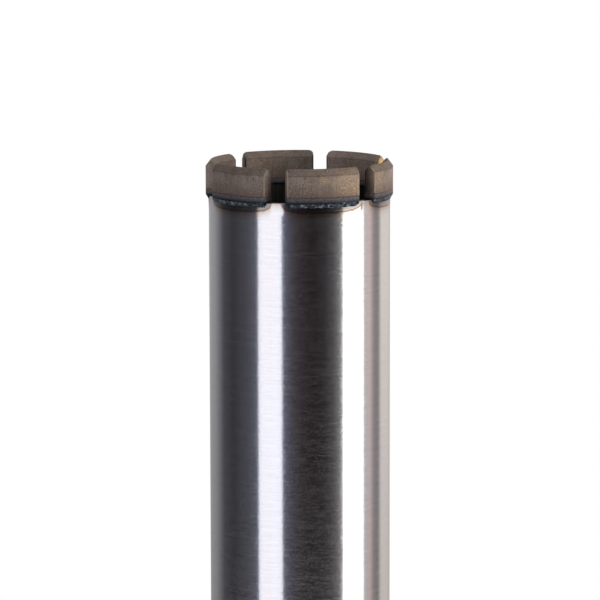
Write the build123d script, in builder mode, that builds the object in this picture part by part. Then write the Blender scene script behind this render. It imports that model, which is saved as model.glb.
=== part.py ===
"""Wet diamond core bit: a ground steel barrel with six roof-top diamond segments laser-welded
round its rim, and a turned end cap with a hexagonal, internally threaded hub welded into its foot.

+Z runs along the barrel towards the crown. The origin is the centre of the hub's end face,
on which the bit stands. Sizes are in millimetres.
"""

from build123d import *

import os
from math import cos, radians, tan

# Crown: sintered segments that stand proud of the tube, outside and inside
crown_diameter = 62.0  # the size the bit is sold by
outer_clearance = 1.0
inner_clearance = 0.4
segment_count = 6
segment_first_angle = -74.5  # centre of segment_1, counterclockwise from +X
segment_length = 24.2  # across the outer wall
segment_end_draft = 6.0  # lean of each end face, which shortens the inner wall
segment_wall_height = 9.0
roof_rise = 2.2  # height of the ridge above the walls
roof_end_radius = 1.6
roof_margin = 1.0  # how far the ring that cuts the roof reaches past the segment's walls
segment_edge_radius = 0.3

# Barrel: one length of thin-walled tube
barrel_wall = 2.0
barrel_length = 310.0

# Laser-weld bead that fills the step between a segment's foot and the tube
bead_height = 1.5
bead_throat = 0.35  # standing off the tube half way down
bead_top_inset = 0.12  # from the segment's face
bead_end_inset = 0.3  # from each end of the segment
bead_clearance = 0.08  # keeps the facets of bead and tube apart

# End cap: hexagonal hub, flange that closes the tube and spigot that centres in it
hub_length = 26.0
hub_sides = 6
hub_across_flats = 41.0
hub_end_chamfer = 1.2
hub_corner_angle = 30.0
flange_thickness = 8.0
flange_edge_chamfer = 1.0
spigot_length = 4.0
spigot_clearance = 0.05
spigot_chamfer = 1.0

# Female thread for the drill spindle, 1 1/4 inch - 7 UNC, bored to its minor diameter
thread_minor_diameter = 27.9
thread_major_diameter = 31.75
relief_diameter = 33.0
relief_length = 8.0  # runout behind the thread, up to the cap's inner face

# Groove weld between barrel and flange
groove_depth = 1.3
groove_weld_crown = 0.45
groove_weld_flat = 0.6  # half the height of its crown

# Places worked out from the sizes above
crown_radius = crown_diameter / 2
barrel_radius = crown_radius - outer_clearance
bore_radius = barrel_radius - barrel_wall
segment_inner_radius = bore_radius - inner_clearance
segment_thickness = crown_radius - segment_inner_radius
ridge_radius = crown_radius - segment_thickness / 2
hub_radius = hub_across_flats / 2
foot_z = hub_length + flange_thickness  # where barrel and flange meet
rim_z = foot_z + barrel_length
shoulder_z = rim_z + segment_wall_height
ridge_z = shoulder_z + roof_rise
cap_top_z = foot_z + spigot_length


# Radial section on the -X side, so that a turned ring's seam lies opposite the piece kept at +X
section_plane = Plane(origin=(0, 0, 0), x_dir=(-1, 0, 0), z_dir=(0, 1, 0))


def segment_direction(index):
    """Plane whose X axis points out through the middle of one segment."""
    return Plane.XY.rotated((0, 0, segment_first_angle + index * 360 / segment_count))


def make_barrel():
    """Tube with a plain square rim, bevelled at the foot for the groove weld."""
    with BuildPart() as barrel:
        with BuildSketch(Plane.XY.offset(foot_z)):
            Circle(barrel_radius)
            Circle(bore_radius, mode=Mode.SUBTRACT)
        extrude(amount=barrel_length)
        foot_edges = barrel.edges().filter_by(GeomType.CIRCLE).group_by(Axis.Z)[0]
        chamfer(foot_edges.sort_by(SortBy.RADIUS)[-1], groove_depth)
    return barrel.part


def make_segment(index):
    """Curved segment with slightly tapered ends and a roof-shaped cutting edge, rounded off at both ends."""
    half_length = segment_length / 2
    outer_corner = (crown_radius**2 - half_length**2) ** 0.5
    inner_half_length = half_length - segment_thickness * tan(radians(segment_end_draft))
    inner_corner = (segment_inner_radius**2 - inner_half_length**2) ** 0.5
    roof_slope = roof_rise / (segment_thickness / 2)
    eaves_drop = roof_slope * roof_margin
    with BuildPart() as segment:
        with BuildSketch(Plane.XY.offset(rim_z)) as outline:
            with BuildLine():
                ThreePointArc((outer_corner, -half_length), (crown_radius, 0), (outer_corner, half_length))
                Line((outer_corner, half_length), (inner_corner, inner_half_length))
                ThreePointArc(
                    (inner_corner, inner_half_length),
                    (segment_inner_radius, 0),
                    (inner_corner, -inner_half_length),
                )
                Line((inner_corner, -inner_half_length), (outer_corner, -half_length))
            make_face()
            fillet(outline.vertices(), segment_edge_radius)
        extrude(amount=ridge_z - rim_z)
        with BuildSketch(section_plane):
            with BuildLine():
                Polyline(
                    (segment_inner_radius - roof_margin, rim_z - roof_margin),
                    (crown_radius + roof_margin, rim_z - roof_margin),
                    (crown_radius + roof_margin, shoulder_z - eaves_drop),
                    (ridge_radius, ridge_z),
                    (segment_inner_radius - roof_margin, shoulder_z - eaves_drop),
                    close=True,
                )
            make_face()
        revolve(axis=Axis.Z, mode=Mode.INTERSECT)
        with BuildSketch(Plane.YZ) as elevation:
            with Locations((0, rim_z)):
                Rectangle(segment_length, ridge_z - rim_z, align=(Align.CENTER, Align.MIN))
            fillet(elevation.vertices().group_by(Axis.Y)[-1], roof_end_radius)
        extrude(amount=crown_diameter, mode=Mode.INTERSECT)
    return segment_direction(index).location * segment.part


def make_segment_weld(index):
    """Bead under one segment's overhang, seated on the tube."""
    bead_length = segment_length - 2 * bead_end_inset
    with BuildPart() as weld:
        with BuildSketch(section_plane):
            with BuildLine():
                seat_radius = barrel_radius + bead_clearance
                Polyline(
                    (crown_radius - bead_top_inset, rim_z),
                    (barrel_radius + bead_throat, rim_z - bead_height / 2),
                    (seat_radius, rim_z - bead_height),
                    (seat_radius, rim_z),
                    close=True,
                )
            make_face()
        revolve(axis=Axis.Z)
        with BuildSketch(Plane.YZ) as elevation:
            with Locations((0, rim_z)):
                Rectangle(bead_length, bead_height, align=(Align.CENTER, Align.MAX))
            fillet(elevation.vertices().group_by(Axis.Y)[0], bead_height / 2)
        extrude(elevation.sketch, amount=crown_diameter, mode=Mode.INTERSECT)
    return segment_direction(index).location * weld.part


def make_end_cap():
    """Hexagonal hub, flange and spigot turned from one bar, bored through."""
    hex_corner_radius = hub_radius / cos(radians(180 / hub_sides))
    corner_drop = (hex_corner_radius - hub_radius + hub_end_chamfer) * tan(radians(hub_corner_angle))
    with BuildPart() as cap:
        with BuildSketch():
            RegularPolygon(hub_radius, hub_sides, major_radius=False)
        extrude(amount=hub_length)
        with BuildSketch(Plane.XZ):
            with BuildLine():
                Polyline(
                    (0, 0),
                    (hub_radius - hub_end_chamfer, 0),
                    (hex_corner_radius, corner_drop),
                    (hex_corner_radius, hub_length),
                    (0, hub_length),
                    close=True,
                )
            make_face()
        revolve(axis=Axis.Z, mode=Mode.INTERSECT)
        with BuildSketch(Plane.XZ):
            with BuildLine():
                spigot_radius = bore_radius - spigot_clearance
                Polyline(
                    (0, hub_length),
                    (barrel_radius - flange_edge_chamfer, hub_length),
                    (barrel_radius, hub_length + flange_edge_chamfer),
                    (barrel_radius, foot_z - groove_depth),
                    (barrel_radius - groove_depth, foot_z),
                    (spigot_radius, foot_z),
                    (spigot_radius, cap_top_z - spigot_chamfer),
                    (spigot_radius - spigot_chamfer, cap_top_z),
                    (0, cap_top_z),
                    close=True,
                )
            make_face()
        revolve(axis=Axis.Z)
        with BuildSketch(Plane.XZ):
            with BuildLine():
                minor_radius = thread_minor_diameter / 2
                relief_radius = relief_diameter / 2
                lead_in = (thread_major_diameter - thread_minor_diameter) / 2
                runout = relief_radius - minor_radius
                thread_end = cap_top_z - relief_length
                Polyline(
                    (0, 0),
                    (minor_radius + lead_in, 0),
                    (minor_radius, lead_in),
                    (minor_radius, thread_end),
                    (relief_radius, thread_end + runout),
                    (relief_radius, cap_top_z),
                    (0, cap_top_z),
                    close=True,
                )
            make_face()
        revolve(axis=Axis.Z, mode=Mode.SUBTRACT)
    return cap.part


def make_cap_weld():
    """Ring that fills the groove between flange and barrel, slightly crowned."""
    with BuildPart() as weld:
        with BuildSketch(Plane.XZ):
            with BuildLine():
                Polyline(
                    (barrel_radius, foot_z - groove_depth),
                    (barrel_radius + groove_weld_crown, foot_z - groove_weld_flat),
                    (barrel_radius + groove_weld_crown, foot_z + groove_weld_flat),
                    (barrel_radius, foot_z + groove_depth),
                    (barrel_radius - groove_depth, foot_z),
                    close=True,
                )
            make_face()
        revolve(axis=Axis.Z)
    return weld.part


def save(part, name):
    part.label = name
    export_step(part, f"parts/{name}.step")


os.makedirs("parts", exist_ok=True)
save(make_barrel(), "barrel")
save(make_end_cap(), "end_cap")
save(make_cap_weld(), "cap_weld")
for segment_index in range(segment_count):
    save(make_segment(segment_index), f"segment_{segment_index + 1}")
    save(make_segment_weld(segment_index), f"segment_weld_{segment_index + 1}")
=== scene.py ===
"""Diamond core bit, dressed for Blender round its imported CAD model: a ground steel barrel, six sintered
segments with their laser welds, and a turned hub with a spindle thread. Metres, +Z towards the crown.
"""

import math

import bmesh
import bpy
from mathutils import Matrix, Vector, noise


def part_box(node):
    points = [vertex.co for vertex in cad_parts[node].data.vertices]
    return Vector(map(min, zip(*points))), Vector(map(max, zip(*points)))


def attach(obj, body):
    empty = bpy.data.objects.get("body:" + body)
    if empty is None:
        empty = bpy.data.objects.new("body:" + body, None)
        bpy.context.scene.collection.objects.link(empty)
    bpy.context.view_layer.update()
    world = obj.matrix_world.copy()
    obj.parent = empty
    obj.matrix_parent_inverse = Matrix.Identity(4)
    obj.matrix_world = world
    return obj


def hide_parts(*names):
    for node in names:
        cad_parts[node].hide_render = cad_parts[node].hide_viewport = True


MM = 0.001

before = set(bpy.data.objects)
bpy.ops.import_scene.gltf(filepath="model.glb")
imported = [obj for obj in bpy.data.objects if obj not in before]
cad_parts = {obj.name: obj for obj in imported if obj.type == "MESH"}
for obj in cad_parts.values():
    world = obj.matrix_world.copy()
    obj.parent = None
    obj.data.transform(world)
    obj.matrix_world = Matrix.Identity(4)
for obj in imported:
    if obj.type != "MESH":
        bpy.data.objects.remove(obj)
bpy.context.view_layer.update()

# Sizes taken from the CAD nodes
FOOT_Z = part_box("barrel")[0].z
RIM_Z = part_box("barrel")[1].z
BARREL_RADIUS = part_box("barrel")[1].x
CAP_TOP_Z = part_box("end_cap")[1].z
CAP_WELD_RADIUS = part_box("cap_weld")[1].x
CROWN_RADIUS = -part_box("segment_5")[0].x
RIDGE_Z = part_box("segment_1")[1].z

# Sizes that a box doesn't give, as in the CAD model
BARREL_WALL = 2.0 * MM
SEGMENT_COUNT = 6
SEGMENT_FIRST_ANGLE = math.radians(-74.5)
SEGMENT_THICKNESS = 3.4 * MM
SEGMENT_HALF_LENGTH = 12.1 * MM
SEGMENT_WALL_HEIGHT = 9.0 * MM
BEAD_HEIGHT = 1.5 * MM
GROOVE_DEPTH = 1.3 * MM
HUB_LENGTH = 26.0 * MM
HUB_RADIUS = 20.5 * MM  # to a flat
HUB_SIDES = 6
HUB_END_CHAMFER = 1.2 * MM
HUB_CORNER_ANGLE = math.radians(30)
FLANGE_EDGE_CHAMFER = 1.0 * MM
SPIGOT_CLEARANCE = 0.05 * MM
SPIGOT_CHAMFER = 1.0 * MM
THREAD_MINOR_RADIUS = 13.95 * MM
THREAD_MAJOR_RADIUS = 15.875 * MM
RELIEF_RADIUS = 16.5 * MM
RELIEF_LENGTH = 8.0 * MM

# Sizes of what is shaped only here
SEGMENT_END_DRAFT = math.radians(3)  # the corner taken off at the bore adds the rest
SEGMENT_SLIPS = (0.35, 0.0, 0.0, 0.0, 0.0, 0.0)  # degrees that each was set out of its place
ROOF_END_RADIUS = 1.3 * MM  # the rounding of the edges adds the rest
RIM_SWELL = 0.2 * MM
TINT_DEPTH_MM = 3.5
TINT_HALF_LENGTH_MM = 14.1
THREAD_PITCH = 25.4 / 7 * MM

# Places worked out from the sizes above
BORE_RADIUS = BARREL_RADIUS - BARREL_WALL
SEGMENT_INNER_RADIUS = CROWN_RADIUS - SEGMENT_THICKNESS
RIDGE_RADIUS = (CROWN_RADIUS + SEGMENT_INNER_RADIUS) / 2
SHOULDER_Z = RIM_Z + SEGMENT_WALL_HEIGHT
SEGMENT_END_LEAN = SEGMENT_THICKNESS * math.tan(SEGMENT_END_DRAFT)
THREAD_END_Z = CAP_TOP_Z - RELIEF_LENGTH

# Colour sockets of a Mix node
MIX_A, MIX_B, MIX_RESULT = 6, 7, 2

WHITE = (1, 1, 1, 1)


# ---------------------------------------------------------------- helpers


def linear(hex_colour):
    """sRGB hex colour as linear RGBA."""
    channels = [int(hex_colour[i : i + 2], 16) / 255 for i in (1, 3, 5)]
    return tuple(c / 12.92 if c <= 0.04045 else ((c + 0.055) / 1.055) ** 2.4 for c in channels) + (1.0,)


def add(tree, kind, inputs=None, **settings):
    """Adds a node with its settings; each input is a value, a node's first output or an output."""
    node = tree.nodes.new(kind)
    for name, value in settings.items():
        setattr(node, name, value)
    for name, value in (inputs or {}).items():
        if isinstance(value, bpy.types.Node):
            value = value.outputs[0]
        if isinstance(value, bpy.types.NodeSocket):
            tree.links.new(value, node.inputs[name])
        else:
            node.inputs[name].default_value = value
    return node


def set_stops(ramp_node, stops):
    """Gives a colour ramp its stops, each a position with a hex colour or a linear RGB."""
    ramp = ramp_node.color_ramp
    while len(ramp.elements) < len(stops):
        ramp.elements.new(1.0)
    for element, (position, colour) in zip(ramp.elements, stops):
        element.position = position
        element.color = linear(colour) if isinstance(colour, str) else (*colour, 1.0)
    return ramp_node


def new_material(name):
    """Empty material; returns it and its node tree."""
    material = bpy.data.materials.new(name)
    material.use_nodes = True
    material.node_tree.nodes.clear()
    return material, material.node_tree


def finish_material(tree, surface):
    add(tree, "ShaderNodeOutputMaterial", {"Surface": surface})


def new_object(name, bm):
    """Object at the origin, made from a bmesh that isn't needed again."""
    mesh = bpy.data.meshes.new(name)
    bm.to_mesh(mesh)
    bm.free()
    made = bpy.data.objects.new(name, mesh)
    bpy.context.scene.collection.objects.link(made)
    return made


def finish_piece(name, bm, material, node, smooth_angle):
    """Turns a bmesh into a piece of the part that stands for one CAD node."""
    bmesh.ops.recalc_face_normals(bm, faces=bm.faces)
    piece = new_object(name, bm)
    piece.data.materials.append(material)
    piece.data.set_sharp_from_angle(angle=math.radians(smooth_angle))
    for polygon in piece.data.polygons:
        polygon.use_smooth = True
    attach(piece, "root")
    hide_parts(node)
    return piece


def outline(bm, points):
    """Adds a closed section in the XZ plane, given as (radius, height) points, and returns its edges."""
    verts = [bm.verts.new((radius, 0.0, height)) for radius, height in points]
    return [bm.edges.new(pair) for pair in zip(verts, verts[1:] + verts[:1])]


def rotate(bm, angle):
    """Turns the whole bmesh round Z."""
    bmesh.ops.rotate(bm, verts=bm.verts, cent=(0, 0, 0), matrix=Matrix.Rotation(angle, 3, "Z"))


def turn(bm, steps):
    """Spins the section once round Z and closes it on itself."""
    bmesh.ops.spin(
        bm,
        geom=bm.verts[:] + bm.edges[:],
        cent=(0, 0, 0),
        axis=(0, 0, 1),
        angle=math.tau,
        steps=steps,
        use_merge=True,
        use_duplicate=False,
    )


def sweep(bm, middle, half_sweep, steps):
    """Caps the section and spins it to a closed solid that reaches as far to each side of a bearing."""
    bmesh.ops.edgeloop_fill(bm, edges=bm.edges[:])
    rotate(bm, middle - half_sweep)
    bmesh.ops.spin(
        bm,
        geom=bm.verts[:] + bm.edges[:] + bm.faces[:],
        cent=(0, 0, 0),
        axis=(0, 0, 1),
        angle=2 * half_sweep,
        steps=steps,
    )


def scratch_object(name, bm):
    """Object for a modifier to work on, thrown away afterwards."""
    bmesh.ops.remove_doubles(bm, verts=bm.verts, dist=0.001 * MM)
    bmesh.ops.recalc_face_normals(bm, faces=bm.faces)
    return new_object(name, bm)


def with_modifiers(scratch):
    """The object as its modifiers leave it, as a bmesh."""
    depsgraph = bpy.context.evaluated_depsgraph_get()
    mesh = bpy.data.meshes.new_from_object(scratch.evaluated_get(depsgraph))
    bm = bmesh.new()
    bm.from_mesh(mesh)
    bpy.data.meshes.remove(mesh)
    return bm


def combined(base_bm, tool_bm, operation):
    """Boolean of two closed solids."""
    base = scratch_object("base", base_bm)
    tool = scratch_object("tool", tool_bm)
    boolean = base.modifiers.new("boolean", "BOOLEAN")
    boolean.object = tool
    boolean.operation = operation
    boolean.solver = "EXACT"
    bm = with_modifiers(base)
    bpy.data.objects.remove(base)
    bpy.data.objects.remove(tool)
    return bm


# ---------------------------------------------------------------- materials


def make_ground_steel():
    """Steel tube ground on a belt while it turned: fine lines run round it, so reflections keep sharp
    upright edges but smear up and down. The attribute drop_below_tint, in millimetres, places the
    oxide colours that the laser left under each segment."""
    material, tree = new_material("ground_stainless_steel")
    place = add(tree, "ShaderNodeTexCoord").outputs["Object"]
    # Grinding lines, 0.3 mm apart and 15 mm long, over finer scratches 4 mm long
    line_place = add(tree, "ShaderNodeMapping", {"Vector": place, "Scale": (65.0, 65.0, 3400.0)})
    lines = add(tree, "ShaderNodeTexNoise", {"Vector": line_place, "Scale": 1.0, "Detail": 2.0})
    scratch_place = add(tree, "ShaderNodeMapping", {"Vector": place, "Scale": (250.0, 250.0, 5200.0)})
    scratches = add(tree, "ShaderNodeTexNoise", {"Vector": scratch_place, "Scale": 1.0, "Detail": 1.0})
    # Faint upright shades left by the passes of the belt, 4 mm wide
    shade_place = add(tree, "ShaderNodeMapping", {"Vector": place, "Scale": (260.0, 260.0, 9.0)})
    shades = add(tree, "ShaderNodeTexNoise", {"Vector": shade_place, "Scale": 1.0, "Detail": 2.0})
    steel = set_stops(
        add(tree, "ShaderNodeValToRGB", {"Fac": shades}),
        [(0.35, "#C7C8CB"), (0.7, "#CAC5C3")],
    )
    marks = add(tree, "ShaderNodeMath", {0: scratches, 1: lines}, operation="ADD")
    # Pits left by the belt's grit, drawn coarser than they are, at 0.6 mm, so that they show
    pits = add(tree, "ShaderNodeTexNoise", {"Vector": place, "Scale": 1700.0, "Detail": 1.0})
    ground = add(tree, "ShaderNodeMath", {0: marks, 1: 0.6, 2: pits}, operation="MULTIPLY_ADD")
    mark_value = add(
        tree,
        "ShaderNodeMapRange",
        {"Value": marks, "From Min": 0.7, "From Max": 1.3, "To Min": 0.93, "To Max": 1.04},
    )
    lined = add(
        tree,
        "ShaderNodeMix",
        {"Factor": 1.0, MIX_A: steel, MIX_B: mark_value},
        data_type="RGBA",
        blend_type="MULTIPLY",
    )

    # Oxide colours: the attribute is the distance below the tint's lower edge, negative inside it
    drop = add(tree, "ShaderNodeAttribute", attribute_name="drop_below_tint").outputs["Fac"]
    wander = add(tree, "ShaderNodeTexNoise", {"Vector": place, "Scale": 900.0, "Detail": 3.0})
    wandered = add(tree, "ShaderNodeMath", {0: wander, 1: 0.8, 2: drop}, operation="MULTIPLY_ADD")
    tint_fac = add(tree, "ShaderNodeMapRange", {"Value": wandered, "From Min": -3.1, "From Max": 3.4})
    tint = set_stops(
        add(tree, "ShaderNodeValToRGB", {"Fac": tint_fac}),
        [
            (0.0, "#474B52"),
            (0.14, "#6C7076"),
            (0.30, "#999A97"),
            (0.42, "#ABA299"),
            (0.475, "#8A7264"),
            (0.50, "#A8846C"),
            (0.53, "#D9C8BA"),
            (0.72, "#F3EEE8"),
            (1.0, "#FFFFFF"),
        ],
    )
    coloured = add(
        tree,
        "ShaderNodeMix",
        {"Factor": 1.0, MIX_A: lined.outputs[MIX_RESULT], MIX_B: tint},
        data_type="RGBA",
        blend_type="MULTIPLY",
    )

    roughness = add(
        tree,
        "ShaderNodeMapRange",
        {"Value": ground, "From Min": 0.85, "From Max": 1.35, "To Min": 0.135, "To Max": 0.245},
    )
    bump = add(tree, "ShaderNodeBump", {"Strength": 1.0, "Distance": 0.006 * MM, "Height": ground})
    tangent = add(tree, "ShaderNodeTangent", direction_type="RADIAL", axis="Z")
    shader = add(
        tree,
        "ShaderNodeBsdfPrincipled",
        {
            "Base Color": coloured.outputs[MIX_RESULT],
            "Metallic": 1.0,
            "Roughness": roughness,
            "Anisotropic": 0.9,
            "Anisotropic Rotation": 0.25,
            "Tangent": tangent,
            "Normal": bump,
        },
    )
    finish_material(tree, shader)
    return material


def make_bore_steel():
    """Drawn tube, left as it came from the mill inside: dull grey with faint lines along the tube."""
    material, tree = new_material("drawn_steel_bore")
    place = add(tree, "ShaderNodeTexCoord").outputs["Object"]
    line_place = add(tree, "ShaderNodeMapping", {"Vector": place, "Scale": (900.0, 900.0, 30.0)})
    lines = add(tree, "ShaderNodeTexNoise", {"Vector": line_place, "Scale": 1.0, "Detail": 3.0})
    colour = set_stops(
        add(tree, "ShaderNodeValToRGB", {"Fac": lines}),
        [(0.3, "#262524"), (0.75, "#44413F")],
    )
    shader = add(
        tree,
        "ShaderNodeBsdfPrincipled",
        {"Base Color": colour, "Metallic": 1.0, "Roughness": 0.5},
    )
    finish_material(tree, shader)
    return material


def make_sintered_matrix():
    """Bronze and cobalt powder hot-pressed round diamond grit: matt grey-brown, with fine upright
    pressing marks, open pores, pale grit, and a plain blue-grey foot layer that the laser can weld."""
    material, tree = new_material("sintered_diamond_matrix")
    place = add(tree, "ShaderNodeTexCoord").outputs["Object"]
    height = add(tree, "ShaderNodeSeparateXYZ", {"Vector": place}).outputs["Z"]

    # Mottle of 4 mm, grain of 0.4 mm and pressing marks 0.3 mm apart
    mottle = add(
        tree,
        "ShaderNodeTexNoise",
        {"Vector": place, "Scale": 260.0, "Detail": 5.0, "Roughness": 0.65},
    )
    grain = add(tree, "ShaderNodeTexNoise", {"Vector": place, "Scale": 2600.0, "Detail": 2.0})
    mark_place = add(tree, "ShaderNodeMapping", {"Vector": place, "Scale": (3200.0, 3200.0, 120.0)})
    marks = add(tree, "ShaderNodeTexNoise", {"Vector": mark_place, "Scale": 1.0, "Detail": 2.0})
    texture = add(tree, "ShaderNodeMath", {0: marks, 1: 0.6, 2: grain}, operation="MULTIPLY_ADD")
    base = set_stops(
        add(tree, "ShaderNodeValToRGB", {"Fac": mottle}),
        [(0.3, "#7A6C62"), (0.5, "#8A7B6F"), (0.72, "#9A887A")],
    )
    mark_value = add(
        tree,
        "ShaderNodeMapRange",
        {"Value": texture, "From Min": 0.55, "From Max": 1.05, "To Min": 0.62, "To Max": 1.3},
    )
    # The wall turns browner towards the weld
    above_foot = add(tree, "ShaderNodeMath", {0: height, 1: RIM_Z}, operation="SUBTRACT")
    heat = add(
        tree,
        "ShaderNodeMapRange",
        {"Value": above_foot, "From Min": 6.5 * MM, "From Max": 2.0 * MM},
    )
    heated = add(
        tree,
        "ShaderNodeMix",
        {"Factor": heat, MIX_A: base, MIX_B: linear("#6E5D51")},
        data_type="RGBA",
    )
    # Each segment's tone, with painted light on segment_3's inner wall
    tone_and_painted_light = add(tree, "ShaderNodeAttribute", attribute_name="tone_and_painted_light").outputs["Fac"]
    toned_marks = add(tree, "ShaderNodeMath", {0: mark_value, 1: tone_and_painted_light}, operation="MULTIPLY")
    marked = add(
        tree,
        "ShaderNodeMix",
        {"Factor": 1.0, MIX_A: heated.outputs[MIX_RESULT], MIX_B: toned_marks},
        data_type="RGBA",
        blend_type="MULTIPLY",
    )

    # Pale grit, about 0.3 mm, in a few of the cells of a 0.9 mm pattern
    cells = add(tree, "ShaderNodeTexVoronoi", {"Vector": place, "Scale": 1100.0})
    cell_draw = add(tree, "ShaderNodeSeparateColor", {"Color": cells.outputs["Color"]})
    grit_near = add(tree, "ShaderNodeMath", {0: cells.outputs["Distance"], 1: 0.16}, operation="LESS_THAN")
    grit_cell = add(tree, "ShaderNodeMath", {0: cell_draw.outputs[0], 1: 0.86}, operation="GREATER_THAN")
    grit = add(tree, "ShaderNodeMath", {0: grit_near, 1: grit_cell}, operation="MULTIPLY")
    gritty = add(
        tree,
        "ShaderNodeMix",
        {"Factor": grit, MIX_A: marked.outputs[MIX_RESULT], MIX_B: linear("#C4AE86")},
        data_type="RGBA",
    )
    # Open pores, about 0.4 mm, in others
    pore_near = add(tree, "ShaderNodeMath", {0: cells.outputs["Distance"], 1: 0.2}, operation="LESS_THAN")
    pore_cell = add(tree, "ShaderNodeMath", {0: cell_draw.outputs[1], 1: 0.8}, operation="GREATER_THAN")
    pore = add(tree, "ShaderNodeMath", {0: pore_near, 1: pore_cell}, operation="MULTIPLY")
    porous = add(
        tree,
        "ShaderNodeMix",
        {"Factor": pore, MIX_A: gritty.outputs[MIX_RESULT], MIX_B: linear("#2C2622")},
        data_type="RGBA",
    )

    # Bronze colour and painted light: a warm cast, partly the bronze's own colour and partly painted light,
    # with fine painted golden glints, 0.3 mm, in patches
    bronze_and_painted_glints = add(tree, "ShaderNodeAttribute", attribute_name="bronze_and_painted_glints").outputs["Fac"]
    cast = add(tree, "ShaderNodeMath", {0: bronze_and_painted_glints, 1: 0.7}, operation="MULTIPLY")
    warmed = add(
        tree,
        "ShaderNodeMix",
        {"Factor": cast, MIX_A: porous.outputs[MIX_RESULT], MIX_B: linear("#A98A6A")},
        data_type="RGBA",
    )
    glint_noise = add(tree, "ShaderNodeTexNoise", {"Vector": place, "Scale": 3000.0, "Detail": 1.0})
    glint_sum = add(tree, "ShaderNodeMath", {0: bronze_and_painted_glints, 1: 0.36, 2: glint_noise}, operation="MULTIPLY_ADD")
    glint = add(tree, "ShaderNodeMapRange", {"Value": glint_sum, "From Min": 0.70, "From Max": 0.84})
    bronzed_and_glinting = add(
        tree,
        "ShaderNodeMix",
        {"Factor": glint, MIX_A: warmed.outputs[MIX_RESULT], MIX_B: linear("#D9B47C")},
        data_type="RGBA",
    )

    # Painted shade on the ends towards the bore, where the neighbouring segment keeps the light off, and a
    # darker line along the shoulders
    end_shade_and_shoulder_line = add(tree, "ShaderNodeAttribute", attribute_name="end_shade_and_shoulder_line").outputs["Fac"]
    end_shaded = add(
        tree,
        "ShaderNodeMix",
        {"Factor": end_shade_and_shoulder_line, MIX_A: bronzed_and_glinting.outputs[MIX_RESULT], MIX_B: linear("#1B1512")},
        data_type="RGBA",
    )

    # Painted shade: faces that look upwards are made greyer and darker. Edges are painted pale, partly
    # rubbed wear and partly a painted highlight
    upward_painted_shade = add(tree, "ShaderNodeAttribute", attribute_name="upward_painted_shade").outputs["Fac"]
    upward_shade_grey = add(
        tree,
        "ShaderNodeMix",
        {"Factor": upward_painted_shade, MIX_A: WHITE, MIX_B: linear("#D2CFCD")},
        data_type="RGBA",
    )
    upward_shaded = add(
        tree,
        "ShaderNodeMix",
        {"Factor": 1.0, MIX_A: end_shaded.outputs[MIX_RESULT], MIX_B: upward_shade_grey.outputs[MIX_RESULT]},
        data_type="RGBA",
        blend_type="MULTIPLY",
    )
    # Pale edges, partly rubbed wear and partly a painted highlight
    worn_highlit = add(tree, "ShaderNodeAttribute", attribute_name="worn_and_highlit_edge").outputs["Fac"]
    rubbed_and_highlit = add(tree, "ShaderNodeMath", {0: worn_highlit, 1: grain}, operation="MULTIPLY")
    edged = add(
        tree,
        "ShaderNodeMix",
        {"Factor": rubbed_and_highlit, MIX_A: upward_shaded.outputs[MIX_RESULT], MIX_B: linear("#B3A08C")},
        data_type="RGBA",
    )

    # Foot layer: 2.2 mm of plain powder, heat-tinted blue-grey, with a brown-violet line above it
    wander = add(tree, "ShaderNodeTexNoise", {"Vector": place, "Scale": 1500.0, "Detail": 2.0})
    shifted = add(tree, "ShaderNodeMath", {0: wander, 1: -0.6 * MM, 2: above_foot}, operation="MULTIPLY_ADD")
    foot_fac = add(
        tree,
        "ShaderNodeMapRange",
        {"Value": shifted, "From Min": -0.3 * MM, "From Max": 3.5 * MM},
    )
    foot_colour = set_stops(
        add(tree, "ShaderNodeValToRGB", {"Fac": foot_fac}),
        [
            (0.0, "#0B0D10"),
            (0.1, "#1E2227"),
            (0.2, "#44464A"),
            (0.42, "#605B5A"),
            (0.49, "#483C41"),
            (0.56, "#5E4A42"),
            (0.62, "#7D6A5D"),
        ],
    )
    foot_grain = add(
        tree,
        "ShaderNodeMapRange",
        {"Value": grain, "From Min": 0.35, "From Max": 0.65, "To Min": 0.6, "To Max": 1.45},
    )
    foot_grained = add(
        tree,
        "ShaderNodeMix",
        {"Factor": 1.0, MIX_A: foot_colour, MIX_B: foot_grain},
        data_type="RGBA",
        blend_type="MULTIPLY",
    )
    foot_mask = add(
        tree,
        "ShaderNodeMapRange",
        {"Value": shifted, "From Min": 1.7 * MM, "From Max": 2.2 * MM, "To Min": 1.0, "To Max": 0.0},
    )
    coloured = add(
        tree,
        "ShaderNodeMix",
        {"Factor": foot_mask, MIX_A: edged.outputs[MIX_RESULT], MIX_B: foot_grained.outputs[MIX_RESULT]},
        data_type="RGBA",
    )

    relief = add(tree, "ShaderNodeMath", {0: grain, 1: 0.6, 2: marks}, operation="MULTIPLY_ADD")
    bump = add(tree, "ShaderNodeBump", {"Strength": 0.5, "Distance": 0.05 * MM, "Height": relief})
    shader = add(
        tree,
        "ShaderNodeBsdfPrincipled",
        {
            "Base Color": coloured.outputs[MIX_RESULT],
            "Metallic": 0.35,
            "Roughness": 0.62,
            "Normal": bump,
        },
    )
    finish_material(tree, shader)
    return material


def make_laser_weld():
    """Steel melted by the laser and left as it froze: glossy, blue-black with oxide."""
    material, tree = new_material("oxidised_laser_weld")
    place = add(tree, "ShaderNodeTexCoord").outputs["Object"]
    # Patches of oxide, about 1 mm
    patches = add(tree, "ShaderNodeTexNoise", {"Vector": place, "Scale": 900.0, "Detail": 3.0})
    colour = set_stops(
        add(tree, "ShaderNodeValToRGB", {"Fac": patches}),
        [(0.38, "#1E2125"), (0.55, "#3D434B"), (0.72, "#8B9096")],
    )
    bump = add(tree, "ShaderNodeBump", {"Strength": 1.0, "Distance": 0.09 * MM, "Height": patches})
    shader = add(
        tree,
        "ShaderNodeBsdfPrincipled",
        {"Base Color": colour, "Metallic": 1.0, "Roughness": 0.12, "Normal": bump},
    )
    finish_material(tree, shader)
    return material


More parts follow.
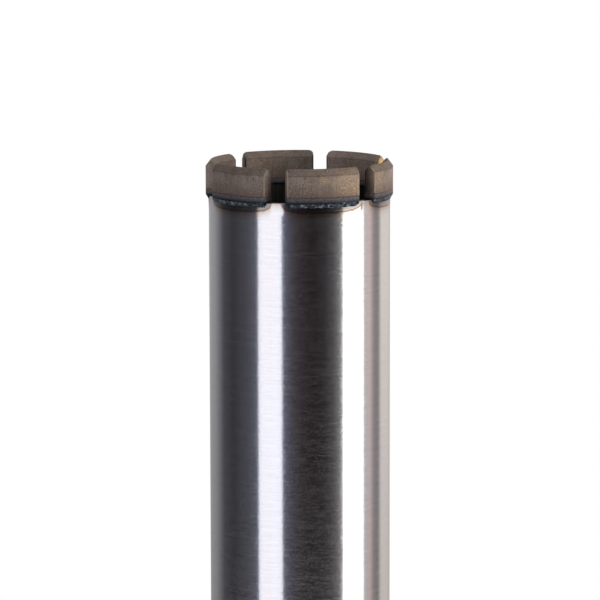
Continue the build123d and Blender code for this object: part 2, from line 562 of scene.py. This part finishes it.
def make_seam_weld():
    """Arc-welded seam: bright grey steel with patches of straw and blue oxide, about 3 mm."""
    material, tree = new_material("arc_welded_seam")
    place = add(tree, "ShaderNodeTexCoord").outputs["Object"]
    patches = add(tree, "ShaderNodeTexNoise", {"Vector": place, "Scale": 350.0, "Detail": 4.0})
    colour = set_stops(
        add(tree, "ShaderNodeValToRGB", {"Fac": patches}),
        [(0.3, "#5E6570"), (0.45, "#7F7D7C"), (0.6, "#A39784"), (0.75, "#B5B2AE")],
    )
    shader = add(
        tree,
        "ShaderNodeBsdfPrincipled",
        {"Base Color": colour, "Metallic": 1.0, "Roughness": 0.32},
    )
    finish_material(tree, shader)
    return material


def make_turned_steel():
    """Carbon steel turned on a lathe and milled: fine rings and a soft grey shine."""
    material, tree = new_material("turned_carbon_steel")
    place = add(tree, "ShaderNodeTexCoord").outputs["Object"]
    # Rings 0.3 mm apart
    ring_place = add(tree, "ShaderNodeMapping", {"Vector": place, "Scale": (60.0, 60.0, 3000.0)})
    rings = add(tree, "ShaderNodeTexNoise", {"Vector": ring_place, "Scale": 1.0, "Detail": 3.0})
    colour = set_stops(
        add(tree, "ShaderNodeValToRGB", {"Fac": rings}),
        [(0.3, "#9A9896"), (0.7, "#B9B7B4")],
    )
    bump = add(tree, "ShaderNodeBump", {"Strength": 0.3, "Distance": 0.02 * MM, "Height": rings})
    tangent = add(tree, "ShaderNodeTangent", direction_type="RADIAL", axis="Z")
    shader = add(
        tree,
        "ShaderNodeBsdfPrincipled",
        {
            "Base Color": colour,
            "Metallic": 1.0,
            "Roughness": 0.34,
            "Anisotropic": 0.6,
            "Anisotropic Rotation": 0.25,
            "Tangent": tangent,
            "Normal": bump,
        },
    )
    finish_material(tree, shader)
    return material


ground_steel = make_ground_steel()
bore_steel = make_bore_steel()
sintered_matrix = make_sintered_matrix()
laser_weld_steel = make_laser_weld()
turned_steel = make_turned_steel()
seam_weld_steel = make_seam_weld()


# ---------------------------------------------------------------- barrel


def segment_angle(index):
    """Bearing of the middle of a segment, counterclockwise from +X."""
    return SEGMENT_FIRST_ANGLE + index * math.tau / SEGMENT_COUNT + math.radians(SEGMENT_SLIPS[index])


def arc_offset(place):
    """Distance round the barrel, in millimetres, from the even place of the nearest segment's middle."""
    pitch = math.tau / SEGMENT_COUNT
    angle = math.atan2(place.y, place.x) - SEGMENT_FIRST_ANGLE
    offset = (angle + pitch / 2) % pitch - pitch / 2
    return offset * BARREL_RADIUS / MM


def tint_depth(offset):
    """How far the oxide tint reaches below the rim, in millimetres: a smile under each segment."""
    reach = min(abs(offset) / TINT_HALF_LENGTH_MM, 1.0)
    return TINT_DEPTH_MM * (1 - reach**3) ** (1 / 3)


def swollen_radius(place):
    """The tube's radius, which grows a little towards the rim where the laser heated it."""
    past_tint = 2.5  # how much farther down than the tint the swelling starts, in millimetres
    depth = (RIM_Z - place.z) / MM
    heated = max(0.0, 1 - depth / (tint_depth(arc_offset(place)) + past_tint))
    return BARREL_RADIUS + RIM_SWELL * heated**1.5


def make_barrel():
    """Ground tube with its rim's corners rounded, bevelled at the foot for the groove weld."""
    rim_edge_radius = 0.15 * MM
    fine_length = 9.0 * MM  # below the rim, cut finely enough for the swelling and the tint
    bm = bmesh.new()
    section = outline(
        bm,
        [
            (BARREL_RADIUS, FOOT_Z + GROOVE_DEPTH),
            (BARREL_RADIUS, RIM_Z - fine_length),
            (BARREL_RADIUS, RIM_Z),
            (BORE_RADIUS, RIM_Z),
            (BORE_RADIUS, FOOT_Z),
            (BARREL_RADIUS - GROOVE_DEPTH, FOOT_Z),
        ],
    )
    bmesh.ops.subdivide_edges(bm, edges=[section[1]], cuts=35)
    bmesh.ops.subdivide_edges(bm, edges=[section[0]], cuts=30)
    bmesh.ops.subdivide_edges(bm, edges=[section[3]], cuts=30)
    corners = [vert for vert in bm.verts if abs(vert.co.z - RIM_Z) < 0.0001 * MM]
    bmesh.ops.bevel(
        bm, geom=corners, offset=rim_edge_radius, segments=3, profile=0.5, affect="VERTICES", material=-1
    )
    turn(bm, 420)
    for vert in bm.verts:
        radius = math.hypot(vert.co.x, vert.co.y)
        if radius > BARREL_RADIUS - 0.5 * MM:
            vert.co.xy *= 1 + (swollen_radius(vert.co) - BARREL_RADIUS) / radius
    for face in bm.faces:
        middle = face.calc_center_median()
        if math.hypot(middle.x, middle.y) < BORE_RADIUS + 0.01 * MM:
            face.material_index = 1
    piece = finish_piece("barrel_tube", bm, ground_steel, "barrel", 30.0)
    piece.data.materials.append(bore_steel)

    # Distance below the tint's lower edge, in millimetres; the cap weld tints the foot in the same way
    tint_at_foot = 1.5
    untinted = 10.0
    attribute = piece.data.attributes.new("drop_below_tint", "FLOAT", "POINT")
    for vert in piece.data.vertices:
        below_tint = (RIM_Z - vert.co.z) / MM - tint_depth(arc_offset(vert.co))
        above_foot_tint = (vert.co.z - FOOT_Z - GROOVE_DEPTH) / MM - tint_at_foot
        attribute.data[vert.index].value = min(below_tint, above_foot_tint, untinted)


make_barrel()


# ---------------------------------------------------------------- segments


# Each pressing comes out a little lighter or darker than the next; segment_3's 1.38 is painted light,
# lifting its inner wall, which the lamps reach less than the others
SEGMENT_TONES_AND_PAINTED_LIGHT = (1.02, 0.98, 1.38, 0.91, 1.08, 0.97)
# The segment whose ends get the strongest painted shade, as its neighbour keeps the light off
MOST_SHADED_SEGMENT = 1

# Patches of bronze colour with painted light and glints on a segment: place along and up its wall and reach
# in millimetres, strength
BRONZE_AND_GLINT_PATCHES = {
    0: [(8.0, 7.0, 7.0, 0.4), (11.5, 4.5, 6.0, 0.35), (-0.5, 7.6, 2.0, 0.42)],
    1: [(-9.5, 7.5, 5.0, 0.25)],
    # Painted light: segment_3's end face made bright gold where strong light falls on it
    2: [(-12.0, 9.0, 3.0, 1.0)],
    3: [(6.0, 5.0, 9.0, 0.15)],
}


def end_cuts(half_length):
    """Planes, each a place and a normal, that shape a segment's ends: they lean in, lose their corner
    to the bore and round off the end of the ridge in a fan of cuts."""
    fan_steps = 7
    outer_corner = math.sqrt(CROWN_RADIUS**2 - half_length**2)
    inner_half_length = half_length - SEGMENT_END_LEAN
    inner_corner = math.sqrt(SEGMENT_INNER_RADIUS**2 - inner_half_length**2)
    cuts = []
    for side in (-1, 1):
        lean = Vector((-math.sin(SEGMENT_END_DRAFT), side * math.cos(SEGMENT_END_DRAFT), 0))
        cuts.append((Vector((outer_corner, side * half_length, RIM_Z)), lean))
        bore_corner = Vector((inner_corner + 0.25 * MM, side * (inner_half_length - 0.1 * MM), RIM_Z))
        cuts.append((bore_corner, Vector((-1, side, 0)).normalized()))
        centre = Vector((0, side * (half_length - ROOF_END_RADIUS), RIDGE_Z - ROOF_END_RADIUS))
        for step in range(1, fan_steps):
            tilt = math.radians(90 * step / fan_steps)
            normal = Vector((0, side * math.cos(tilt), math.sin(tilt)))
            cuts.append((centre + normal * ROOF_END_RADIUS, normal))
    return cuts


def segment_blank():
    """Segment with sharp edges, centred on +X, oversize by what the rounding of the powder takes off."""
    allowance = 0.08 * MM
    ridge_allowance = 0.2 * MM
    half_sweep = math.radians(28)  # past both ends
    bm = bmesh.new()
    outline(
        bm,
        [
            (SEGMENT_INNER_RADIUS - allowance / 2, RIM_Z),
            (CROWN_RADIUS + allowance, RIM_Z),
            (CROWN_RADIUS + allowance, SHOULDER_Z + allowance / 2),
            (RIDGE_RADIUS, RIDGE_Z + ridge_allowance),
            (SEGMENT_INNER_RADIUS - allowance / 2, SHOULDER_Z + allowance / 2),
        ],
    )
    sweep(bm, 0.0, half_sweep, 64)
    bmesh.ops.recalc_face_normals(bm, faces=bm.faces)
    for place, normal in end_cuts(SEGMENT_HALF_LENGTH + allowance):
        everything = bm.verts[:] + bm.edges[:] + bm.faces[:]
        cut = bmesh.ops.bisect_plane(bm, geom=everything, plane_co=place, plane_no=normal, clear_outer=True)
        open_edges = [item for item in cut["geom_cut"] if isinstance(item, bmesh.types.BMEdge)]
        if open_edges:
            bmesh.ops.edgeloop_fill(bm, edges=open_edges)
    return bm


def pressed(blank):
    """Blank remeshed as fine as its powder, which rounds its edges."""
    scratch = scratch_object("blank", blank)
    remesh = scratch.modifiers.new("powder", "REMESH")
    remesh.mode = "VOXEL"
    remesh.voxel_size = 0.14 * MM
    bm = with_modifiers(scratch)
    bpy.data.objects.remove(scratch)
    bmesh.ops.smooth_vert(bm, verts=bm.verts, factor=0.5, use_axis_x=True, use_axis_y=True, use_axis_z=True)
    bm.normal_update()
    return bm


def mark_finish(bm, index):
    """Stores on a segment's vertices what its material reads: edge wear with a painted highlight, painted
    shading on upward faces, warm patches with painted light and glints, painted shading at the ends with a
    line along the shoulders, and each segment's tone with painted light.
    """
    worn_highlit_reach = 0.35 * MM
    seam_reach = 0.35 * MM
    end_shade_reach = 0.8 * MM
    worn_highlit_layer = bm.verts.layers.float.new("worn_and_highlit_edge")
    upward_shade_layer = bm.verts.layers.float.new("upward_painted_shade")
    bronze_glint_layer = bm.verts.layers.float.new("bronze_and_painted_glints")
    end_shade_and_line_layer = bm.verts.layers.float.new("end_shade_and_shoulder_line")
    tone_and_light_layer = bm.verts.layers.float.new("tone_and_painted_light")
    roof_normal = Vector((RIDGE_Z - SHOULDER_Z, CROWN_RADIUS - RIDGE_RADIUS)).normalized()
    end_shade_power = 1 if index == MOST_SHADED_SEGMENT else 4
    to_local = Matrix.Rotation(-segment_angle(index), 3, "Z")
    for vert in bm.verts:
        local = to_local @ vert.co
        radius = math.hypot(local.x, local.y)
        from_outside = CROWN_RADIUS - radius
        from_shoulder = SHOULDER_Z - local.z

        from_roof = Vector((from_outside, from_shoulder)).dot(roof_normal)
        from_end = SEGMENT_HALF_LENGTH - abs(local.y)
        from_wall = min(from_outside, max(0.0, from_roof))
        # Edge wear with a painted highlight, along the outer edges of the ends
        vert[worn_highlit_layer] = max(0.0, 1 - max(from_end, from_wall) / worn_highlit_reach)

        for along, up, reach, strength in BRONZE_AND_GLINT_PATCHES.get(index, []):
            away = math.hypot(local.y / MM - along, (local.z - RIM_Z) / MM - up)
            vert[bronze_glint_layer] = max(vert[bronze_glint_layer], strength * (1 - (away / reach) ** 2))

        # Painted shade: the ends darken towards the bore, where the neighbouring segment keeps the light off
        end_depth = from_outside / SEGMENT_THICKNESS
        from_leaning_end = SEGMENT_HALF_LENGTH - SEGMENT_END_LEAN * end_depth - abs(local.y)
        near_end = min(1.0, max(0.0, 1 - from_leaning_end / end_shade_reach))
        painted_end_shade = near_end * min(1.0, max(0.0, end_depth)) ** end_shade_power
        # A darker line along the shoulders
        from_seam = math.hypot(min(from_outside, radius - SEGMENT_INNER_RADIUS), from_shoulder)
        shoulder_line = 0.4 * max(0.0, 1 - from_seam / seam_reach)
        vert[end_shade_and_line_layer] = max(painted_end_shade, shoulder_line)

        vert[tone_and_light_layer] = SEGMENT_TONES_AND_PAINTED_LIGHT[index]
        # Painted shade on faces that look upwards
        vert[upward_shade_layer] = min(1.0, max(0.0, vert.normal.z * 3 - 0.6))
    return worn_highlit_layer


def roughen(bm, worn_highlit_layer):
    """Grain of 0.7 mm over swells of 3 mm, and chips of 1 mm along the wearing edges, kept inside the
    ridge's height and the crown's radius."""
    grain_height = 0.02 * MM
    swell_height = 0.03 * MM
    chip_depth = 0.12 * MM
    largest_radius = CROWN_RADIUS - 0.01 * MM
    for vert in bm.verts:
        grain = grain_height * noise.noise(vert.co * 1400.0)
        swell = swell_height * noise.noise(vert.co * 350.0)
        chip = chip_depth * vert[worn_highlit_layer] * max(0.0, noise.noise(vert.co * 900.0))
        vert.co += vert.normal * (grain + swell - grain_height - chip)
        vert.co.z = min(vert.co.z, RIDGE_Z)
        over = math.hypot(vert.co.x, vert.co.y) / largest_radius
        if over > 1:
            vert.co.xy /= over


def make_segment(index):
    """One pressed segment, roughened like sintered powder."""
    node = f"segment_{index + 1}"
    blank = segment_blank()
    rotate(blank, segment_angle(index))
    bm = pressed(blank)
    worn_highlit_layer = mark_finish(bm, index)
    roughen(bm, worn_highlit_layer)
    finish_piece(node + "_pressed", bm, sintered_matrix, node, 70.0)


for segment_index in range(SEGMENT_COUNT):
    make_segment(segment_index)


# ---------------------------------------------------------------- laser welds


def make_laser_bead(index):
    """Hollow fillet under one segment, rippled where the pool froze spot after spot, with a drop at
    each end."""
    node = f"segment_weld_{index + 1}"
    angle = segment_angle(index)
    half_length = SEGMENT_HALF_LENGTH - 0.1 * MM
    root_radius = BARREL_RADIUS - 0.2 * MM
    top_z = RIM_Z + 0.05 * MM
    bm = bmesh.new()
    section = outline(
        bm,
        [
            (root_radius, top_z),
            (CROWN_RADIUS - 0.1 * MM, top_z),
            (BARREL_RADIUS + 0.02 * MM, RIM_Z - BEAD_HEIGHT),
            (root_radius, RIM_Z - BEAD_HEIGHT),
        ],
    )
    bmesh.ops.subdivide_edges(bm, edges=[section[1]], cuts=13)
    sweep(bm, angle, half_length / BARREL_RADIUS, 240)

    # How far the face stands off the tube, in millimetres; it sinks towards both ends
    ripple_pitch = 0.6
    ripple_height = 0.05
    lump_height = 0.12
    fade_end = half_length / MM + 0.05
    fade_length = 1.2
    for vert in bm.verts:
        radius = math.hypot(vert.co.x, vert.co.y)
        if radius < BARREL_RADIUS:
            continue
        offset = arc_offset(vert.co)
        down = min(max((RIM_Z - vert.co.z) / BEAD_HEIGHT, 0.0), 1.0)
        fillet = 0.1 + 0.8 * (1 - down) ** 1.6
        ripple = ripple_height * math.sin(math.tau * (offset + 0.35 * down**2) / ripple_pitch + index)
        lump = lump_height * noise.noise(vert.co * 500.0 + Vector((index, 0, 0)))
        end = 0.45 + 0.55 * min(1.0, max(0.0, (fade_end - abs(offset)) / fade_length))
        toe = min(1.0, (1 - down) / 0.12)
        proud = (fillet * end + (ripple + lump) * min(1.0, 0.2 + 4 * down)) * toe - 0.03
        new_radius = min(swollen_radius(vert.co) + proud * MM, CROWN_RADIUS - 0.02 * MM)
        vert.co.xy *= new_radius / radius
        vert.co.z += 0.18 * MM * down * noise.noise(Vector((offset * 0.6, index, 0)))

    drop_radius = 0.42 * MM
    drop_distance = BARREL_RADIUS + 0.35 * MM
    drop_z = RIM_Z - 0.4 * MM
    for side in (-1, 1):
        bearing = angle + side * half_length / BARREL_RADIUS
        place = Vector((drop_distance * math.cos(bearing), drop_distance * math.sin(bearing), drop_z))
        bmesh.ops.create_icosphere(bm, subdivisions=3, radius=drop_radius, matrix=Matrix.Translation(place))
    finish_piece(node + "_bead", bm, laser_weld_steel, node, 60.0)


for segment_index in range(SEGMENT_COUNT):
    make_laser_bead(segment_index)


# ---------------------------------------------------------------- end cap and its weld


def turned(points, steps):
    """Closed solid of revolution whose section starts and ends on the axis."""
    bm = bmesh.new()
    outline(bm, points)
    turn(bm, steps)
    return bm


def hub_blank():
    """Hexagonal bar with its upright edges broken and its corners turned off at the end face."""
    edge_break = 0.35 * MM
    face_break = 0.3 * MM  # where the end face meets the chamfer, with a slope of 0.4
    corner_radius = HUB_RADIUS / math.cos(math.pi / HUB_SIDES)
    corner_drop = (corner_radius - HUB_RADIUS + HUB_END_CHAMFER) * math.tan(HUB_CORNER_ANGLE)
    length = HUB_LENGTH + 1.0 * MM  # into the flange
    bar = bmesh.new()
    bmesh.ops.create_cone(
        bar, cap_ends=True, segments=HUB_SIDES, radius1=corner_radius, radius2=corner_radius, depth=length
    )
    rotate(bar, math.pi / HUB_SIDES)
    bmesh.ops.translate(bar, verts=bar.verts, vec=(0, 0, length / 2))
    upright = [edge for edge in bar.edges if abs(edge.verts[0].co.z - edge.verts[1].co.z) > HUB_LENGTH / 2]
    bmesh.ops.bevel(
        bar, geom=upright, offset=edge_break, segments=3, profile=0.5, affect="EDGES", material=-1
    )
    cone = turned(
        [
            (0, 0),
            (HUB_RADIUS - HUB_END_CHAMFER - face_break, 0),
            (HUB_RADIUS - HUB_END_CHAMFER, 0.4 * face_break),
            (corner_radius, corner_drop),
            (corner_radius, length),
            (0, length),
        ],
        160,
    )
    return combined(bar, cone, "INTERSECT")


def flange_blank():
    """Flange and spigot, sunk a little into the hub."""
    edge = 0.25 * MM
    into_hub = 0.5 * MM
    neck_radius = HUB_RADIUS - 2.0 * MM
    spigot_radius = BORE_RADIUS - SPIGOT_CLEARANCE
    return turned(
        [
            (0, HUB_LENGTH - into_hub),
            (neck_radius, HUB_LENGTH - into_hub),
            (neck_radius, HUB_LENGTH),
            (BARREL_RADIUS - FLANGE_EDGE_CHAMFER - edge, HUB_LENGTH),
            (BARREL_RADIUS - FLANGE_EDGE_CHAMFER, HUB_LENGTH + edge / 3),
            (BARREL_RADIUS - edge / 3, HUB_LENGTH + FLANGE_EDGE_CHAMFER),
            (BARREL_RADIUS, HUB_LENGTH + FLANGE_EDGE_CHAMFER + edge),
            (BARREL_RADIUS, FOOT_Z - GROOVE_DEPTH),
            (BARREL_RADIUS - GROOVE_DEPTH, FOOT_Z),
            (spigot_radius, FOOT_Z),
            (spigot_radius, CAP_TOP_Z - SPIGOT_CHAMFER),
            (spigot_radius - SPIGOT_CHAMFER, CAP_TOP_Z),
            (0, CAP_TOP_Z),
        ],
        240,
    )


def bore_cutter():
    """What is bored out of the cap: lead-in, minor diameter of the thread, and the relief behind it."""
    past_faces = 1.0 * MM
    return turned(
        [
            (0, -past_faces),
            (THREAD_MAJOR_RADIUS + past_faces, -past_faces),
            (THREAD_MINOR_RADIUS, THREAD_MAJOR_RADIUS - THREAD_MINOR_RADIUS),
            (THREAD_MINOR_RADIUS, THREAD_END_Z),
            (RELIEF_RADIUS, THREAD_END_Z + RELIEF_RADIUS - THREAD_MINOR_RADIUS),
            (RELIEF_RADIUS, CAP_TOP_Z + past_faces),
            (0, CAP_TOP_Z + past_faces),
        ],
        144,
    )


def thread_cutter():
    """Ridge of the tool that cuts the spindle thread: a 60 degree vee wound right-handed."""
    steps_per_turn = 72
    clearance = 0.3 * MM
    crest = THREAD_PITCH / 8
    depth = THREAD_MAJOR_RADIUS - THREAD_MINOR_RADIUS + clearance
    base = crest + 2 * depth * math.tan(math.radians(30))
    first = -1.5 * THREAD_PITCH
    last = THREAD_END_Z + 4.4 * MM  # in the relief
    turns = (last - first) / THREAD_PITCH
    steps = round(turns * steps_per_turn)
    bm = bmesh.new()
    section = outline(
        bm,
        [
            (THREAD_MINOR_RADIUS - clearance, first - base / 2),
            (THREAD_MAJOR_RADIUS, first - crest / 2),
            (THREAD_MAJOR_RADIUS, first + crest / 2),
            (THREAD_MINOR_RADIUS - clearance, first + base / 2),
        ],
    )
    bmesh.ops.edgeloop_fill(bm, edges=section)
    bmesh.ops.spin(
        bm,
        geom=bm.verts[:] + bm.edges[:] + bm.faces[:],
        cent=(0, 0, 0),
        axis=(0, 0, 1),
        dvec=(0, 0, (last - first) / steps),
        angle=math.tau * turns,
        steps=steps,
    )
    return bm


def make_end_cap():
    """Hub, flange and spigot turned from one bar, with the spindle thread cut right through the hub."""
    body = combined(hub_blank(), flange_blank(), "UNION")
    bored = combined(body, bore_cutter(), "DIFFERENCE")
    threaded = combined(bored, thread_cutter(), "DIFFERENCE")
    finish_piece("end_cap_turned", threaded, turned_steel, "end_cap", 24.0)


def make_cap_weld():
    """Seam weld between flange and barrel, laid in overlapping ripples."""
    ripple_pitch = 1.6 * MM
    ripple_height = 0.07 * MM
    lump_height = 0.05 * MM
    wobble_height = 0.15 * MM  # up and down, of the seam's edges
    root_depth = 0.3 * MM
    crown = CAP_WELD_RADIUS - BARREL_RADIUS
    ripple_count = round(math.tau * BARREL_RADIUS / ripple_pitch)
    bm = bmesh.new()
    section = outline(
        bm,
        [
            (BARREL_RADIUS - root_depth, FOOT_Z - GROOVE_DEPTH),
            (BARREL_RADIUS, FOOT_Z - GROOVE_DEPTH),
            (BARREL_RADIUS, FOOT_Z + GROOVE_DEPTH),
            (BARREL_RADIUS - root_depth, FOOT_Z + GROOVE_DEPTH),
            (BARREL_RADIUS - GROOVE_DEPTH, FOOT_Z),
        ],
    )
    bmesh.ops.subdivide_edges(bm, edges=[section[1]], cuts=9)
    turn(bm, 540)
    for vert in bm.verts:
        radius = math.hypot(vert.co.x, vert.co.y)
        if radius < BARREL_RADIUS - 0.1 * MM:
            continue
        angle = math.atan2(vert.co.y, vert.co.x)
        across = (vert.co.z - FOOT_Z) / GROOVE_DEPTH
        phase = angle * ripple_count + 2.2 * across**2 + 0.5 * noise.noise(vert.co * 300.0)
        ripple = ripple_height * (abs(math.sin(phase / 2)) - 1)
        lump = lump_height * (noise.noise(vert.co * 250.0) - 0.5)
        bulge = (crown + ripple + lump) * (1 - across**2)
        wobble = wobble_height * noise.noise(Vector((0.2 * angle * BARREL_RADIUS / MM, across, 5.0)))
        vert.co.xy *= 1 + (bulge + 0.01 * MM) / radius
        vert.co.z += wobble * (1 if abs(across) > 0.9 else 0.5)
    finish_piece("cap_weld_seam", bm, seam_weld_steel, "cap_weld", 60.0)


make_end_cap()
make_cap_weld()


# ---------------------------------------------------------------- floor, studio walls, lights and camera


STUDIO_HEIGHT = 0.9
WALL_RADIUS = 0.4
LAMP_DISTANCE = 0.37

# Bearing in degrees from the camera, to the right, and brightness of the wall there
WALL_TONES = [
    (-180, (0.50, 0.49, 0.48)),
    (-150, (0.42, 0.42, 0.43)),
    (-133, (0.40, 0.40, 0.42)),
    (-121, (0.25, 0.25, 0.27)),
    (-110, (0.10, 0.10, 0.115)),
    (-90, (0.055, 0.056, 0.066)),
    (-68, (0.10, 0.10, 0.118)),
    (-55, (0.15, 0.16, 0.22)),
    (-20, (0.15, 0.16, 0.24)),
    (-10, (0.08, 0.073, 0.088)),
    (2, (0.041, 0.032, 0.037)),
    (16, (0.018, 0.016, 0.017)),
    (30, (0.035, 0.031, 0.032)),
    (42, (0.10, 0.095, 0.097)),
    (56, (0.34, 0.33, 0.33)),
    (88, (0.8, 0.77, 0.75)),
    (98, (0.95, 0.77, 0.75)),
    (106, (0.42, 0.37, 0.37)),
    (116, (0.32, 0.31, 0.31)),
    (124, (1.05, 0.99, 0.95)),
    (145, (0.92, 0.86, 0.81)),
    (165, (0.60, 0.55, 0.52)),
    (180, (0.5, 0.48, 0.46)),
]


def make_floor():
    """Pale floor that keeps the part's shadow and fades into the white backdrop."""
    bm = bmesh.new()
    bmesh.ops.create_circle(bm, cap_ends=True, radius=1.1, segments=96)
    floor = new_object("floor", bm)
    material, tree = new_material("pale_studio_floor")
    place = add(tree, "ShaderNodeTexCoord").outputs["Object"]
    distance = add(tree, "ShaderNodeVectorMath", {0: place}, operation="LENGTH").outputs["Value"]
    fade = add(
        tree,
        "ShaderNodeMapRange",
        {"Value": distance, "From Min": 0.06, "From Max": 0.36},
        interpolation_type="SMOOTHERSTEP",
    )
    rays = add(tree, "ShaderNodeLightPath")
    seen = add(
        tree,
        "ShaderNodeMath",
        {0: rays.outputs["Is Camera Ray"], 1: rays.outputs["Is Glossy Ray"]},
        operation="MAXIMUM",
    )
    white = add(tree, "ShaderNodeMath", {0: seen, 1: fade}, operation="MULTIPLY")
    diffuse = add(tree, "ShaderNodeBsdfDiffuse", {"Color": linear("#F4F3F1")})
    glow = add(tree, "ShaderNodeEmission", {"Color": WHITE, "Strength": 1.0})
    finish_material(tree, add(tree, "ShaderNodeMixShader", {0: white, 1: diffuse, 2: glow}))
    floor.data.materials.append(material)


def make_studio_walls():
    """Ring of walls: dark flags in front and at the sides, white paper behind. The part reflects it
    and the camera looks through it."""
    bm = bmesh.new()
    bmesh.ops.create_cone(
        bm, cap_ends=False, segments=180, radius1=WALL_RADIUS, radius2=WALL_RADIUS, depth=STUDIO_HEIGHT
    )
    bmesh.ops.translate(bm, verts=bm.verts, vec=(0, 0, STUDIO_HEIGHT / 2))
    walls = new_object("studio_walls", bm)
    material, tree = new_material("flags_and_paper")
    place = add(tree, "ShaderNodeTexCoord").outputs["Object"]
    split = add(tree, "ShaderNodeSeparateXYZ", {"Vector": place})
    to_camera = add(tree, "ShaderNodeMath", {0: split.outputs["Y"], 1: -1.0}, operation="MULTIPLY")
    bearing = add(tree, "ShaderNodeMath", {0: split.outputs["X"], 1: to_camera}, operation="ARCTAN2")
    fac = add(
        tree,
        "ShaderNodeMapRange",
        {"Value": bearing, "From Min": -math.pi, "From Max": math.pi},
    )
    tone = set_stops(
        add(tree, "ShaderNodeValToRGB", {"Fac": fac}),
        [((degrees + 180) / 360, rgb) for degrees, rgb in WALL_TONES],
    )
    # Less light reaches the walls near the floor
    grade = add(
        tree,
        "ShaderNodeMapRange",
        {"Value": split.outputs["Z"], "From Min": 0.12, "From Max": 0.27, "To Min": 0.8, "To Max": 1.03},
    )
    finish_material(tree, add(tree, "ShaderNodeEmission", {"Color": tone, "Strength": grade}))
    walls.data.materials.append(material)
    walls.visible_camera = False


def add_softbox(name, bearing, half_angle, radiance, colour):
    """Upright softbox as high as the walls; the angles, in degrees, are as the barrel sees it."""
    light = bpy.data.lights.new(name, "AREA")
    light.shape = "RECTANGLE"
    light.size = 2 * LAMP_DISTANCE * math.tan(math.radians(half_angle))
    light.size_y = STUDIO_HEIGHT
    light.energy = radiance * math.pi * light.size * light.size_y
    light.color = linear(colour)[:3]
    lamp = bpy.data.objects.new(name, light)
    angle = math.radians(bearing)
    lamp.location = (LAMP_DISTANCE * math.sin(angle), -LAMP_DISTANCE * math.cos(angle), STUDIO_HEIGHT / 2)
    aim = Vector((-lamp.location.x, -lamp.location.y, 0))
    lamp.rotation_euler = aim.to_track_quat("-Z", "Y").to_euler()
    lamp.visible_camera = False
    bpy.context.scene.collection.objects.link(lamp)


def make_camera():
    """Long lens a little above the crown, looking slightly down."""
    distance = 1.24162  # from the middle of the rim
    aside = 0.125 * MM
    elevation = math.radians(6.801)
    pitch = math.radians(8.435)
    roll = math.radians(-0.123)
    camera_data = bpy.data.cameras.new("camera")
    camera_data.sensor_width = 36.0
    camera_data.lens = 225.03
    camera_data.clip_start = 0.05
    camera = bpy.data.objects.new("camera", camera_data)
    forward = Vector((0, math.cos(pitch), -math.sin(pitch)))
    right = Vector((1, 0, 0))
    up = right.cross(forward)
    rolled_right = math.cos(roll) * right + math.sin(roll) * up
    rolled_up = -math.sin(roll) * right + math.cos(roll) * up
    facing = Matrix((rolled_right, rolled_up, -forward)).transposed().to_4x4()
    place = Vector((aside, -distance * math.cos(elevation), RIM_Z + distance * math.sin(elevation)))
    camera.matrix_world = Matrix.Translation(place) @ facing
    bpy.context.scene.collection.objects.link(camera)
    bpy.context.scene.camera = camera


def make_world():
    """Plain white surroundings."""
    world = bpy.data.worlds.new("white_studio")
    bpy.context.scene.world = world
    world.use_nodes = True
    tree = world.node_tree
    tree.nodes.clear()
    sky = add(tree, "ShaderNodeBackground", {"Color": WHITE, "Strength": 1.0})
    add(tree, "ShaderNodeOutputWorld", {"Surface": sky})


make_floor()
make_studio_walls()
add_softbox("left_softbox", bearing=-36.9, half_angle=15.3, radiance=1.6, colour="#F6F7FD")
add_softbox("right_softbox", bearing=70.0, half_angle=15.3, radiance=2.7, colour="#FFFFFF")
make_camera()
make_world()
bpy.context.scene.view_settings.view_transform = "Standard"
